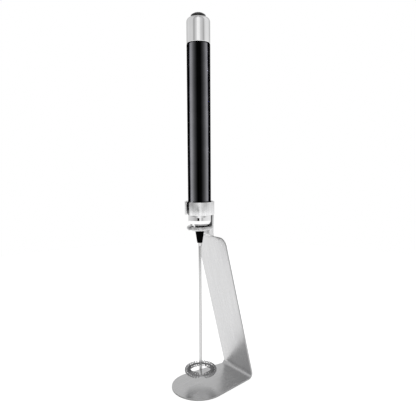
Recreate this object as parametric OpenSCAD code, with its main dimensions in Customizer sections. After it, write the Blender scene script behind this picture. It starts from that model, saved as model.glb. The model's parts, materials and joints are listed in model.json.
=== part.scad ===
// Battery milk frother standing in its bent-sheet holder.
// Millimetres. +Z is up, the table is at z = 0, and the origin is on the frother's axis.
// The holder's rounded foot points to -Y and its leg stands at +Y.

/* [Stand] */
// Thickness of the stand's steel sheet
sheet_t = 1.2; // [1:0.1:1.5]
// Radius of the foot's round front
foot_r = 19.9; // [18:0.1:22]
// How far the centre of that round front lies ahead of the frother's axis
foot_ahead = 1.5; // [0:0.1:4]
// Distance from the axis back to the inner line of the bend
bend_back = 36.5; // [32:0.5:40]
// Width of the leg
leg_w = 32; // [26:0.5:36]
// Inside radius of the bend between foot and leg
bend_r = 2.8; // [1:0.1:4]
// Height where the leg stops leaning and the neck starts
lean_top_z = 108.5; // [106:0.1:109]
// Height of the leg's shoulders
shoulder_z = 110.1; // [109:0.1:111]
// Corner radius of the shoulders
shoulder_r = 6; // [3:0.5:8]
// Width of the neck at the shoulders
neck_low_w = 5.4; // [4:0.2:6]
// Width of the neck where it meets the guide ring
neck_high_w = 7.6; // [6:0.2:9]

/* [Holding rings] */
// Radial gap between the barrel and the guide ring
guide_gap = 1.15; // [0.8:0.05:1.5]
// Height of the guide ring's lower edge
guide_z = 126.5; // [126:0.1:128]
// Height of the guide ring
guide_h = 9; // [7:0.5:12]
// Width of the guide ring's front slit
guide_slit = 3; // [2.4:0.1:5]
// Outer radius of the seat ring
seat_r = 9; // [8.6:0.1:9.1]
// Radius of the seat ring's hole
seat_bore_r = 4.6; // [4.2:0.1:4.8]
// Thickness of the seat ring
seat_h = 2.7; // [2:0.1:3]
// Height of the seat ring's top face, where the nose rests
seat_top_z = 118.2; // [118:0.1:118.2]
// Width of the seat ring's front slit
seat_slit = 3.6; // [2.4:0.1:5]
// Width of the bracket between the seat ring and the neck
bracket_w = 6; // [4:0.5:6]
// Distance from the axis to the bracket's front
bracket_front_y = 5.55; // [5:0.05:7]
// Height of the bracket's lower end
bracket_z = 110.3; // [110.3:0.1:114]

/* [Barrel] */
// Outer radius of the barrel
barrel_r = 8; // [8:0.1:8.3]
// Wall of the barrel's tube
barrel_wall = 0.9; // [0.8:0.05:0.95]
// Height of the barrel's lower end
barrel_z = 126.3; // [126.3:0.1:126.6]
// Height of the barrel's upper rim
rim_z = 241.6; // [241:0.1:242]
// Radius of the rounded upper rim
rim_round = 0.8; // [0.3:0.1:0.8]

/* [Nose] */
// Height where the nose starts to curve in
nose_curve_z = 122.7; // [122:0.1:123.5]
// Radius of the nose's flat lower end
nose_tip_r = 5.4; // [5:0.1:5.8]
// Radius of the long curve on the nose
nose_curve_r = 5.1; // [5.1:0.1:14]
// Radius of the black cone where it leaves the nose
cone_top_r = 3.65; // [3.5:0.05:3.7]
// Radius of the cone's lower end
cone_tip_r = 1.85; // [1.8:0.05:2]
// Height of the cone's lower end
cone_tip_z = 106.2; // [105:0.1:107]
// Height of the steel bush's lower end
bush_z = 103.9; // [103:0.1:105]

/* [Cap and button] */
// Height of the cap's flat top
cap_top_z = 258.5; // [258:0.1:259]
// Radius of the cap's rounded shoulder
cap_round = 3; // [1:0.1:3]
// Radius of the power button
button_r = 5; // [4.5:0.1:5]
// Height of the button's dome above the cap's top
button_dome_h = 3.3; // [2.5:0.1:3.8]
// How much of that height is the button's straight side
button_side_h = 1.4; // [0:0.1:1.6]
// Distance the button travels when pressed
button_travel = 1.5; // [1:0.1:1.5]

/* [Whisk] */
// Radius of the long shaft
shaft_r = 1.05; // [0.9:0.05:1.05]
// Height of the whisk's middle above the table
whisk_z = 12.5; // [9:0.5:16]
// Radius of the wire hoop that carries the coil, to the middle of its wire
hoop_r = 9.5; // [8:0.1:10]
// Radius of the hoop's wire
hoop_wire_r = 0.6; // [0.4:0.05:0.7]
// Outer radius of the coil wound round the hoop
coil_out_r = 2.16; // [1.9:0.02:2.3]
// Radius of the coil's wire
coil_wire_r = 0.28; // [0.2:0.02:0.35]
// Number of turns of the coil
coil_turns = 30; // [24:1:44]
// Angle between the coil's two ends, where the hoop's spoke comes in
coil_gap_deg = 20; // [14:1:30]
// Direction of the spoke, seen from above, from +X
spoke_deg = -34; // [-90:1:90]

/* [Batteries] */
// Radius of one cell
cell_r = 5.25; // [5:0.05:5.25]
// Length of one cell
cell_len = 44.5; // [44:0.1:44.5]
// Height of the lower cell's lower end
cell_z = 150.5; // [150.5:0.1:150.6]

/* [Motor] */
// Outer radius of the motor's can
can_r = 6.1; // [5.8:0.1:6.1]
// Height of the can's lower face
can_z = 130; // [130:0.1:130.2]
// Height of the can's rim
can_top_z = 147.5; // [147.4:0.1:147.5]
// Radius of the motor's shaft
motor_shaft_r = 0.75; // [0.5:0.05:0.75]
// Radius of the armature
armature_r = 4; // [3.4:0.1:4]

/* [Hidden] */
$fn = 64;
running_gap = 0.05;
press_gap = 0.02;
cut = 1;

// Stand
neck_y = barrel_r + guide_gap;
leg_lean = atan((bend_back - neck_y) / (lean_top_z - sheet_t));
bend_start_y = bend_back - bend_r / tan((90 - leg_lean) / 2);
guide_out_r = neck_y + sheet_t;
guide_top_z = guide_z + guide_h;
slit_corner_r = 0.8;
seat_z = seat_top_z - seat_h;
seat_edge_r = 1.1;
bracket_r = 1.6;
neck_root = 0.6;

// Barrel, nose and bush
bore_r = barrel_r - barrel_wall;
nose_z = seat_top_z + 0.05;
nose_floor_z = 120.2;
nose_spigot_z = 128.4;
nose_bore_r = 5.2;
flange_h = 1.8;
coupler_r = 1.9;
coupler_z = 113.4;
coupler_top_z = 123;
coupler_room_r = 2.3;
coupler_room_z = 112.9;
bush_r = 1.45;
bush_top_z = 112.5;

// Batteries and wiring
cell_top_z = cell_z + 2 * cell_len;
nub_r = 2.2;
nub_h = 0.9;
mount_r = bore_r - running_gap;
mount_z = 128.5;
mount_top_z = 149.5;
plate_r = 6.35;
plate_t = 0.4;
sleeve_r = bore_r - 0.1;
sleeve_bore_r = 5.45;
sleeve_z = 150;
sleeve_top_z = 236.4;
strip_w = 3;
strip_t = 0.3;
strip_y = 6.5;
strip_top_z = sleeve_top_z + 0.1;
strip_gap = 0.2;
groove_w = strip_w + 2 * strip_gap;
terminal_y = 4.2;
terminal_z = 148.6;
terminal_w = 1.6;
terminal_t = 0.4;
mount_hole_gap = 0.4;

// Motor
can_wall = 0.4;
can_bore_r = can_r - can_wall;
bush_out_r = 1.6;
bush_bore_r = motor_shaft_r + running_gap;
front_bush_z = can_z - 0.7;
front_bush_top_z = can_z + 1;
magnet_gap = 0.35;
magnet_deg = 120;
magnet_z = 132.5;
magnet_top_z = 143;
armature_z = 133;
armature_top_z = 142;
commutator_r = 1.5;
commutator_z = 143.6;
commutator_top_z = 146;
endcap_z = 145;
endcap_floor_z = 146.3;

// Cap, switch and button
cap_z = rim_z + 0.05;
cap_bore_r = 6.8;
cap_ceiling_z = cap_top_z - 1.6;
cap_edge = 0.35;
spigot_r = bore_r - running_gap;
spigot_z = rim_z - 4.6;
spigot_bore_r = 5.6;
housing_r = cap_bore_r - running_gap;
housing_floor_z = cell_top_z + 4.5;
spring_plate_t = 0.3;
spring_plate_r = 5;
spring_wire_r = 0.3;
battery_spring_r = 3;
battery_spring_turns = 4;
button_spring_r = 3.4;
button_spring_turns = 6;
switch_floor_z = housing_floor_z + 2.5;
housing_top_z = switch_floor_z + 5.9;
seal_z = 240.3;
seal_r = 0.4;
groove_half_h = seal_r + running_gap;
contact_r = 1.9;
contact_gap = 0.05;
button_z = cap_ceiling_z - 1.7;
flange_r = 5.9;
flange_gap = 0.2;
button_gap = 0.08;
stem_r = 1.5;
stem_z = 249.3;
moving_contact_h = 0.8;
fixed_contact_top_z = stem_z - moving_contact_h - button_travel - contact_gap;

// Whisk
coil_mid_r = coil_out_r - coil_wire_r;
coil_sides = 5;
coil_steps = 8;
shaft_joint_z = 117.5;
shaft_end_gap = 0.3;

// A solid round bar between two heights
module bar(r, low_z, high_z) {
    translate([0, 0, low_z])
        cylinder(h = high_z - low_z, r = r);
}

// A tube or washer between two heights
module tube(outer_r, inner_r, low_z, high_z) {
    difference() {
        bar(outer_r, low_z, high_z);
        bar(inner_r, low_z - cut, high_z + cut);
    }
}

// A block given by its middle in X, its Y and Z limits and its width
module block(w, y1, y2, z1, z2) {
    translate([-w / 2, y1, z1])
        cube([w, y2 - y1, z2 - z1]);
}

// Turns a shape drawn in Y and Z into a strip of width w, centred on X
module across(w) {
    translate([-w / 2, 0, 0])
        rotate([90, 0, 90])
            linear_extrude(w) children();
}

// Cuts a shape drawn in X and Z through the range y1 to y2
module through(y1, y2) {
    translate([0, y2, 0])
        rotate([90, 0, 0])
            linear_extrude(y2 - y1) children();
}

// ---- wires ----

// Rings of points round a path: each ring has its centre and the two directions across the wire
function wire_ring(c, u, v, r, sides) =
    [for (k = [0:sides - 1]) c + r * (cos(360 * k / sides) * u + sin(360 * k / sides) * v)];

// Joins a list of equal rings into one closed wire with flat ends
module wire(rings, sides) {
    n = len(rings);
    points = [for (ring = rings) each ring];
    skin = [for (i = [0:n - 2], k = [0:sides - 1]) let (m = (k + 1) % sides, a = i * sides, b = a + sides)
        each [[a + k, a + m, b + m], [a + k, b + m, b + k]]];
    first = [[for (k = [sides - 1:-1:0]) k]];
    last = [[for (k = [0:sides - 1]) (n - 1) * sides + k]];
    polyhedron(points = points, faces = concat(skin, first, last), convexity = 10);
}

// A compression spring between two heights, its wire's middle at radius r
module spring(r, low_z, high_z, turns) {
    steps = 12;
    sides = 6;
    count = turns * steps;
    start_z = low_z + spring_wire_r;
    rise = high_z - low_z - 2 * spring_wire_r;
    rings = [for (i = [0:count]) let (a = 360 * i / steps, out = [cos(a), sin(a), 0])
        wire_ring(r * out + [0, 0, start_z + rise * i / count], [0, 0, 1], out, spring_wire_r, sides)];
    wire(rings, sides);
}

// ---- holder ----

// Outline of the foot: a round front whose sides run straight back to the leg's width
module foot_outline() {
    half = leg_w / 2;
    reach = bend_start_y + foot_ahead;
    side_deg = atan2(reach, half) - acos(foot_r / norm([half, reach]));
    translate([0, -foot_ahead]) {
        circle(r = foot_r, $fn = 128);
        polygon([
            [foot_r * cos(side_deg), foot_r * sin(side_deg)],
            [half, reach],
            [-half, reach],
            [-foot_r * cos(side_deg), foot_r * sin(side_deg)]
        ]);
    }
}

// Side view of all that lies in front of the sheet, up to a depth d behind its front face
module ahead_of_sheet(d, margin) {
    centre = [bend_start_y, sheet_t + bend_r];
    polygon([
        [-margin, sheet_t - d],
        [bend_start_y, sheet_t - d],
        centre,
        centre + (bend_r + d) * [cos(leg_lean), sin(leg_lean)],
        [neck_y + d, lean_top_z + d * tan(leg_lean / 2)],
        [neck_y + d, shoulder_z + margin],
        [-margin, shoulder_z + margin]
    ]);
    translate(centre)
        circle(r = bend_r + d);
}

// Side view of the sheet: flat foot, bend, leaning leg and the start of the upright neck
module sheet_side() {
    difference() {
        ahead_of_sheet(sheet_t, 0);
        ahead_of_sheet(0, cut);
    }
}

// Front view of the leg up to its rounded shoulders
module leg_front() {
    half = leg_w / 2;
    translate([-half, 0])
        square([leg_w, shoulder_z - shoulder_r]);
    translate([-half + shoulder_r, 0])
        square([leg_w - 2 * shoulder_r, shoulder_z]);
    for (x = [-half + shoulder_r, half - shoulder_r])
        translate([x, shoulder_z - shoulder_r])
            circle(r = shoulder_r);
}

// The neck is a slice of the guide ring's own cylinder, and widens towards the ring
module neck() {
    low_z = shoulder_z - neck_root;
    intersection() {
        tube(guide_out_r, neck_y, low_z, guide_z);
        through(0, guide_out_r + cut)
            polygon([
                [-neck_low_w / 2, low_z],
                [neck_low_w / 2, low_z],
                [neck_high_w / 2, guide_z],
                [-neck_high_w / 2, guide_z]
            ]);
    }
}

module stand_plate() {
    color("lightgray") {
        linear_extrude(sheet_t) foot_outline();
        intersection() {
            across(leg_w) sheet_side();
            through(0, bend_back + 2 * cut) leg_front();
        }
        neck();
    }
}

// What the slit takes away, seen from the front: the ring's four corners end up rounded
module guide_slit_front() {
    half = guide_slit / 2;
    translate([-half, guide_z - cut])
        square([guide_slit, guide_h + 2 * cut]);
    for (sx = [-1, 1], z = [guide_z, guide_top_z])
        translate([sx * half, z])
            difference() {
                square(2 * slit_corner_r, center = true);
                translate([sx * slit_corner_r, (z == guide_z ? 1 : -1) * slit_corner_r])
                    circle(r = slit_corner_r, $fn = 32);
            }
}

module guide_ring() {
    color("silver")
        difference() {
            tube(guide_out_r, neck_y, guide_z, guide_top_z);
            through(-guide_out_r - cut, 0) guide_slit_front();
        }
}

// Section of the seat ring: square inside, rounded outside
module seat_section() {
    w = seat_r - seat_bore_r;
    translate([seat_bore_r, seat_z]) {
        square([w - seat_edge_r, seat_h]);
        translate([0, seat_edge_r])
            square([w, seat_h - 2 * seat_edge_r]);
        for (z = [seat_edge_r, seat_h - seat_edge_r])
            translate([w - seat_edge_r, z])
                circle(r = seat_edge_r, $fn = 32);
    }
}

// Side view of the bracket that carries the seat ring on the neck, hollowed below
module bracket_side() {
    difference() {
        translate([bracket_front_y, bracket_z])
            square([neck_y - bracket_front_y, seat_top_z - bracket_z]);
        translate([bracket_front_y, bracket_z])
            circle(r = bracket_r, $fn = 32);
    }
}

module seat_ring() {
    color("silver")
        difference() {
            union() {
                rotate_extrude() seat_section();
                intersection() {
                    across(bracket_w) bracket_side();
                    bar(neck_y, bracket_z - cut, seat_top_z);
                }
            }
            block(seat_slit, -seat_r - cut, 0, seat_z - cut, seat_top_z + cut);
        }
}

// ---- barrel and nose ----

module barrel() {
    color("#0b0b0c")
        rotate_extrude()
            intersection() {
                translate([bore_r, barrel_z])
                    square([barrel_wall, rim_z - barrel_z]);
                union() {
                    translate([0, barrel_z])
                        square([barrel_r, rim_z - barrel_z - rim_round]);
                    translate([barrel_r - rim_round, rim_z - rim_round])
                        circle(r = rim_round, $fn = 32);
                    translate([0, barrel_z])
                        square([barrel_r - rim_round, rim_z - barrel_z]);
                }
            }
}

// The nose's outer shape, from its flat end up to the barrel, with one long convex curve
module nose_section() {
    low = [nose_tip_r, nose_z];
    high = [barrel_r, nose_curve_z];
    chord = high - low;
    across_chord = [-chord[1], chord[0]] / norm(chord);
    sag = sqrt(pow(nose_curve_r, 2) - pow(norm(chord) / 2, 2));
    intersection() {
        translate([0, nose_z])
            square([barrel_r, barrel_z - nose_z]);
        translate((low + high) / 2 + sag * across_chord)
            circle(r = nose_curve_r, $fn = 128);
    }
}

module nose_cap() {
    color("gainsboro")
        difference() {
            union() {
                rotate_extrude() nose_section();
                bar(bore_r - press_gap, barrel_z, nose_spigot_z);
            }
            bar(cone_top_r + press_gap, nose_z - cut, nose_spigot_z);
            bar(nose_bore_r, nose_floor_z, nose_spigot_z + cut);
        }
}

module nose_cone() {
    tip_edge = 0.4;
    color("#111111")
        difference() {
            union() {
                translate([0, 0, cone_tip_z])
                    cylinder(h = tip_edge, r1 = cone_tip_r - tip_edge / 2, r2 = cone_tip_r);
                translate([0, 0, cone_tip_z + tip_edge])
                    cylinder(h = nose_z - cone_tip_z - tip_edge, r1 = cone_tip_r, r2 = cone_top_r);
                bar(cone_top_r, nose_z, nose_floor_z);
                bar(nose_bore_r - press_gap, nose_floor_z, nose_floor_z + flange_h);
            }
            bar(bush_r, cone_tip_z - cut, coupler_room_z + cut);
            bar(coupler_room_r, coupler_room_z, nose_floor_z + flange_h + cut);
        }
}

module shaft_bush() {
    color("silver")
        tube(bush_r, shaft_r + running_gap, bush_z, bush_top_z);
}

// ---- motor ----

module motor_mount() {
    color("#222222")
        difference() {
            bar(mount_r, mount_z, mount_top_z);
            bar(bush_out_r + mount_hole_gap, mount_z - cut, can_z + cut);
            bar(can_r + press_gap, can_z, mount_top_z + cut);
            // way for the conductor strip's foot
            block(groove_w, 0, mount_r + cut, terminal_z - strip_gap, mount_top_z + cut);
        }
}

module motor_can() {
    color("silver")
        difference() {
            bar(can_r, can_z, can_top_z);
            bar(bush_out_r, can_z - cut, can_z + cut);
            bar(can_bore_r, can_z + can_wall, can_top_z + cut);
        }
}

module motor_front_bush() {
    color("#b08d57")
        tube(bush_out_r, bush_bore_r, front_bush_z, front_bush_top_z);
}

module motor_rear_bush() {
    color("#b08d57")
        tube(bush_out_r, bush_bore_r, endcap_floor_z, can_top_z);
}

module motor_magnets() {
    inner_r = armature_r + magnet_gap;
    color("dimgray")
        for (a = [0, 180])
            rotate([0, 0, a - magnet_deg / 2])
                rotate_extrude(angle = magnet_deg)
                    translate([inner_r, magnet_z])
                        square([can_bore_r - press_gap - inner_r, magnet_top_z - magnet_z]);
}

module motor_endcap() {
    recess_r = 3.2;
    color("ivory") {
        tube(can_bore_r - press_gap, recess_r, endcap_z, endcap_floor_z);
        tube(can_bore_r - press_gap, bush_out_r, endcap_floor_z, can_top_z);
    }
}

module motor_brushes() {
    leaf_t = 0.25;
    leaf_w = 1;
    leaf_z = 144.2;
    color("peru")
        for (sx = [-1, 1])
            translate([sx * (commutator_r + running_gap + leaf_t / 2), 0, leaf_z])
                translate([-leaf_t / 2, -leaf_w / 2, 0])
                    cube([leaf_t, leaf_w, endcap_floor_z - leaf_z]);
}

module motor_terminals() {
    half = terminal_t / 2;
    color("silver")
        for (y = [-terminal_y, terminal_y])
            block(terminal_w, y - half, y + half, can_top_z, terminal_z);
}

// ---- batteries and wiring ----

module contact_plate() {
    half = terminal_t / 2;
    color("gold") {
        bar(plate_r, mount_top_z, mount_top_z + plate_t);
        bar(nub_r, mount_top_z + plate_t, cell_z);
        block(terminal_w, -terminal_y - half, -terminal_y + half, terminal_z, mount_top_z);
    }
}

module conductor_strip() {
    color("gold") {
        block(strip_w, strip_y, strip_y + strip_t, terminal_z, strip_top_z);
        block(strip_w, terminal_y - strip_t, strip_y, terminal_z, terminal_z + strip_t);
    }
}

module battery_sleeve() {
    color("white")
        difference() {
            tube(sleeve_r, sleeve_bore_r, sleeve_z, sleeve_top_z);
            block(groove_w, strip_y - strip_gap / 2, sleeve_r + cut, sleeve_z - cut, sleeve_top_z + cut);
        }
}

// One cell: its can, and the raised contact on its upper end
module cell(low_z) {
    bar(cell_r, low_z, low_z + cell_len - nub_h);
    bar(nub_r, low_z + cell_len - nub_h, low_z + cell_len);
}

module lower_cell() {
    color("seagreen") cell(cell_z);
}

module upper_cell() {
    color("seagreen") cell(cell_z + cell_len);
}

// ---- cap, switch and button ----

// Section of the cap's outer shape, with a rounded shoulder and a small lower edge
module cap_section() {
    difference() {
        union() {
            translate([0, cap_z])
                square([barrel_r, cap_top_z - cap_z - cap_round]);
            translate([0, cap_z])
                square([barrel_r - cap_round, cap_top_z - cap_z]);
            translate([barrel_r - cap_round, cap_top_z - cap_round])
                circle(r = cap_round);
        }
        translate([barrel_r, cap_z])
            rotate(45)
                square(cap_edge * sqrt(2), center = true);
    }
}

module top_cap() {
    color("gainsboro")
        difference() {
            rotate_extrude() cap_section();
            bar(cap_bore_r, cap_z - cut, cap_ceiling_z);
            bar(button_r + button_gap, cap_ceiling_z - cut, cap_top_z + cut);
        }
}

module switch_housing() {
    color("#1c1c1c")
        difference() {
            union() {
                bar(spigot_r, spigot_z, rim_z);
                bar(housing_r, rim_z, housing_top_z);
            }
            bar(spigot_bore_r, spigot_z - cut, housing_floor_z);
            bar(contact_r, housing_floor_z - cut, switch_floor_z + cut);
            bar(flange_r + flange_gap, switch_floor_z, housing_top_z + cut);
            // groove for the seal
            tube(spigot_r + cut, spigot_r - 2 * seal_r, seal_z - groove_half_h, seal_z + groove_half_h);
        }
}

module cap_seal() {
    color("orangered")
        rotate_extrude()
            translate([spigot_r - seal_r, seal_z])
                circle(r = seal_r, $fn = 32);
}

module cap_contact_ring() {
    color("gold")
        tube(spigot_r - 2 * running_gap, spigot_bore_r, strip_top_z + 0.1, spigot_z);
}

module fixed_contact() {
    color("gold")
        bar(contact_r, housing_floor_z, fixed_contact_top_z);
}

module spring_plate() {
    color("silver")
        bar(spring_plate_r, housing_floor_z - spring_plate_t, housing_floor_z);
}

module battery_spring() {
    color("silver")
        spring(battery_spring_r, cell_top_z, housing_floor_z - spring_plate_t, battery_spring_turns);
}

module power_button() {
    side_top_z = cap_top_z + button_side_h;
    crown_h = button_dome_h - button_side_h;
    crown_r = (pow(button_r, 2) + pow(crown_h, 2)) / (2 * crown_h);
    color("#0d0d0d") {
        intersection() {
            bar(button_r, button_z, side_top_z + crown_h);
            union() {
                bar(button_r, button_z, side_top_z);
                translate([0, 0, side_top_z + crown_h - crown_r])
                    sphere(r = crown_r);
            }
        }
        bar(flange_r, button_z, cap_ceiling_z - running_gap);
        bar(stem_r, stem_z, button_z);
    }
}

module moving_contact() {
    color("gold")
        bar(contact_r, stem_z - moving_contact_h, stem_z);
}

module button_spring() {
    color("silver")
        spring(button_spring_r, switch_floor_z, button_z, button_spring_turns);
}

// ---- spindle and whisk ----

module motor_shaft() {
    color("silver")
        bar(motor_shaft_r, shaft_joint_z, can_top_z - shaft_end_gap);
}

module armature() {
    slot_w = 1.4;
    slot_r = 2;
    color("slategray")
        difference() {
            tube(armature_r, motor_shaft_r, armature_z, armature_top_z);
            for (a = [60, 180, 300])
                rotate([0, 0, a])
                    translate([slot_r, -slot_w / 2, armature_z - cut])
                        cube([armature_r, slot_w, armature_top_z - armature_z + 2 * cut]);
        }
}

module armature_windings() {
    outer_r = 3.5;
    inner_r = 1.2;
    head_h = 1.5;
    color("chocolate") {
        tube(outer_r, inner_r, armature_z - head_h, armature_z);
        tube(outer_r, inner_r, armature_top_z, armature_top_z + head_h);
    }
}

module commutator() {
    color("peru")
        tube(commutator_r, motor_shaft_r, commutator_z, commutator_top_z);
}

module shaft_coupler() {
    color("goldenrod")
        difference() {
            bar(coupler_r, coupler_z, coupler_top_z);
            bar(shaft_r, coupler_z - cut, shaft_joint_z);
            bar(motor_shaft_r, shaft_joint_z - cut, coupler_top_z + cut);
        }
}

module whisk_shaft() {
    color("silver")
        bar(shaft_r, whisk_z - hoop_wire_r, shaft_joint_z);
}

module whisk_hoop() {
    color("silver")
        difference() {
            union() {
                translate([0, 0, whisk_z])
                    rotate_extrude()
                        translate([hoop_r, 0])
                            circle(r = hoop_wire_r, $fn = 32);
                translate([0, 0, whisk_z])
                    rotate([0, 90, spoke_deg])
                        cylinder(h = hoop_r, r = hoop_wire_r, $fn = 32);
            }
            bar(shaft_r, whisk_z - cut, whisk_z + cut);
        }
}

// Each turn of the coil goes once round the hoop's wire while it moves on along the hoop
module whisk_coil() {
    count = coil_turns * coil_steps;
    travel = 360 - coil_gap_deg;
    start = spoke_deg + coil_gap_deg / 2;
    rings = [for (i = [0:count])
        let (
            along = start + travel * i / count,
            round_deg = 360 * i / coil_steps,
            out = [cos(along), sin(along), 0],
            ahead = [-sin(along), cos(along), 0],
            away = cos(round_deg) * out + [0, 0, sin(round_deg)],
            turning = [0, 0, cos(round_deg)] - sin(round_deg) * out,
            step = travel / 360 * 2 * PI * hoop_r / coil_turns,
            path = 2 * PI * coil_mid_r * turning + step * ahead,
            side = cross(path / norm(path), away)
        )
        wire_ring(hoop_r * out + [0, 0, whisk_z] + coil_mid_r * away, away, side,
            coil_wire_r, coil_sides)];
    color("silver")
        wire(rings, coil_sides);
}

stand_plate();
guide_ring();
seat_ring();
barrel();
nose_cap();
nose_cone();
shaft_bush();
motor_mount();
motor_can();
motor_front_bush();
motor_rear_bush();
motor_magnets();
motor_endcap();
motor_brushes();
motor_terminals();
contact_plate();
conductor_strip();
battery_sleeve();
lower_cell();
upper_cell();
top_cap();
switch_housing();
cap_seal();
cap_contact_ring();
fixed_contact();
spring_plate();
battery_spring();
power_button();
moving_contact();
button_spring();
motor_shaft();
armature();
armature_windings();
commutator();
shaft_coupler();
whisk_shaft();
whisk_hoop();
whisk_coil();
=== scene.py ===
import bmesh
import bpy
import json
import math
from mathutils import Matrix, Vector


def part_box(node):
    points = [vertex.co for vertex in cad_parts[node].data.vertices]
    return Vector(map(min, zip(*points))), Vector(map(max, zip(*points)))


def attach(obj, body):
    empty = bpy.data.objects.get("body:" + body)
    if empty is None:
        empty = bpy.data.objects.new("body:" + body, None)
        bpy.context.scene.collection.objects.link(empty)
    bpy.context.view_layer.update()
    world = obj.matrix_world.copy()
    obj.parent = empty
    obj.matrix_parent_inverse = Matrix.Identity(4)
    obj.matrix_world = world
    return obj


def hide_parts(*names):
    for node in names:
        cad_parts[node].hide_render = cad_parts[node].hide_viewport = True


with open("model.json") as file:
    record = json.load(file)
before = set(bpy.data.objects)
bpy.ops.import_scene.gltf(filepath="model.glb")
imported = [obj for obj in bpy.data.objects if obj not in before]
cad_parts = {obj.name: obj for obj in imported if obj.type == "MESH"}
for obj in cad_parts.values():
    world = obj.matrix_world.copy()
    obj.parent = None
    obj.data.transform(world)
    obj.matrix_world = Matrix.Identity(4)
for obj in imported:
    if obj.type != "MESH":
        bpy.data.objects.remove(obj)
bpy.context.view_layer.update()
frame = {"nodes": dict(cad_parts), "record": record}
mm = 0.001


viewpoint = {
    "around": 52.71,      # degrees round the frother's axis, from the front
    "distance": 305.0,    # mm from that axis
    "height": 164.9,      # mm above the table
    "lookDown": 6.39,     # degrees
    "turn": -1.11,        # degrees away from the axis
    "roll": -0.29,        # degrees
    "lens": 37.98,        # mm, on a 36 mm sensor
}


def makeCamera():
    around = math.radians(viewpoint["around"])
    heading = around + math.radians(viewpoint["turn"])
    down = math.radians(viewpoint["lookDown"])
    roll = math.radians(viewpoint["roll"])
    forward = Vector((-math.sin(heading) * math.cos(down), math.cos(heading) * math.cos(down),
                      -math.sin(down)))
    level = Vector((math.cos(heading), math.sin(heading), 0))
    upright = level.cross(forward)
    right = level * math.cos(roll) + upright * math.sin(roll)
    up = upright * math.cos(roll) - level * math.sin(roll)
    data = bpy.data.cameras.new("mainCamera")
    data.sensor_width = 36
    data.lens = viewpoint["lens"]
    data.clip_start = 0.01
    camera = bpy.data.objects.new("mainCamera", data)
    bpy.context.scene.collection.objects.link(camera)
    camera.matrix_world = Matrix((right, up, -forward)).transposed().to_4x4()
    far = viewpoint["distance"] * mm
    camera.location = (math.sin(around) * far, -math.cos(around) * far, viewpoint["height"] * mm)
    bpy.context.scene.camera = camera


makeCamera()
print("camera ready")


def meshFrom(name, points, faces, sharpDegrees=35):
    mesh = bpy.data.meshes.new(name)
    mesh.from_pydata([tuple(p) for p in points], [], faces)
    work = bmesh.new()
    work.from_mesh(mesh)
    bmesh.ops.recalc_face_normals(work, faces=work.faces[:])
    work.to_mesh(mesh)
    work.free()
    mesh.shade_smooth()
    mesh.set_sharp_from_angle(angle=math.radians(sharpDegrees))
    return mesh


def newPiece(name, mesh, material, body, slotName, *replaced):
    piece = bpy.data.objects.new(name, mesh)
    bpy.context.scene.collection.objects.link(piece)
    mesh.materials.append(material)
    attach(piece, body)
    if replaced:
        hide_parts(*replaced)
    return piece


def flattenNormals(piece):
    weighted = piece.modifiers.new("flatFacesStayFlat", "WEIGHTED_NORMAL")
    weighted.keep_sharp = True
    weighted.weight = 100


def roundCorners(corners, steps=6):    # each corner is across, up and, if it is rounded, its radius
    path = []
    for i, corner in enumerate(corners):
        here = Vector(corner[:2])
        radius = corner[2] if len(corner) > 2 else 0
        if not radius:
            path.append(here)
            continue
        toLast = (Vector(corners[i - 1][:2]) - here).normalized()
        toNext = (Vector(corners[(i + 1) % len(corners)][:2]) - here).normalized()
        half = toLast.angle(toNext) / 2
        centre = here + (toLast + toNext).normalized() * (radius / math.sin(half))
        first = here + toLast * (radius / math.tan(half)) - centre
        last = here + toNext * (radius / math.tan(half)) - centre
        turn = -first.angle_signed(last)
        for k in range(steps + 1):
            a = turn * k / steps
            path.append(centre + Vector((first.x * math.cos(a) - first.y * math.sin(a),
                                         first.x * math.sin(a) + first.y * math.cos(a))))
    return path


def lathe(name, profile, segments=96, sharpDegrees=35):    # profile is a closed loop of radius and height
    points, rings, faces = [], [], []
    for radius, height in profile:
        if radius < 1e-7:
            rings.append([len(points)] * segments)
            points.append((0, 0, height))
            continue
        rings.append([len(points) + k for k in range(segments)])
        for k in range(segments):
            a = 2 * math.pi * k / segments
            points.append((radius * math.cos(a), radius * math.sin(a), height))
    for i, ring in enumerate(rings):
        other = rings[(i + 1) % len(rings)]
        for k in range(segments):
            m = (k + 1) % segments
            corners = list(dict.fromkeys([ring[k], ring[m], other[m], other[k]]))
            if len(corners) > 2:
                faces.append(corners)
    return meshFrom(name, points, faces, sharpDegrees)


def sweepWire(name, centres, radius, sides=12, closed=False):    # a round wire with domed ends
    count = len(centres)
    tangents = []
    for i in range(count):
        last = centres[i - 1] if closed or i > 0 else centres[0]
        after = centres[(i + 1) % count] if closed or i < count - 1 else centres[-1]
        tangents.append((after - last).normalized())
    across = tangents[0].orthogonal().normalized()
    if closed and abs(tangents[0].z) < 0.5:
        across = Vector((0, 0, 1))
    places = []
    for centre, tangent in zip(centres, tangents):
        across = (across - tangent * across.dot(tangent)).normalized()
        places.append((centre, tangent, across, 1.0))
    if not closed:
        domes = [(math.cos(a), math.sin(a)) for a in (0.45, 0.9, 1.3)]
        start, end = places[0], places[-1]
        for shrink, push in domes:
            places.insert(0, (start[0] - start[1] * radius * push, start[1], start[2], shrink))
            places.append((end[0] + end[1] * radius * push, end[1], end[2], shrink))
    points, faces = [], []
    for centre, tangent, side, scale in places:
        other = tangent.cross(side)
        for k in range(sides):
            a = 2 * math.pi * k / sides
            points.append(centre + (side * math.cos(a) + other * math.sin(a)) * radius * scale)
    rings = len(places)
    for i in range(rings if closed else rings - 1):
        for k in range(sides):
            m = (k + 1) % sides
            n = (i + 1) % rings
            faces.append((i * sides + k, i * sides + m, n * sides + m, n * sides + k))
    if not closed:
        faces.append(tuple(range(sides)))
        faces.append(tuple((rings - 1) * sides + k for k in range(sides)))
    return meshFrom(name, points, faces, 60)


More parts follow.
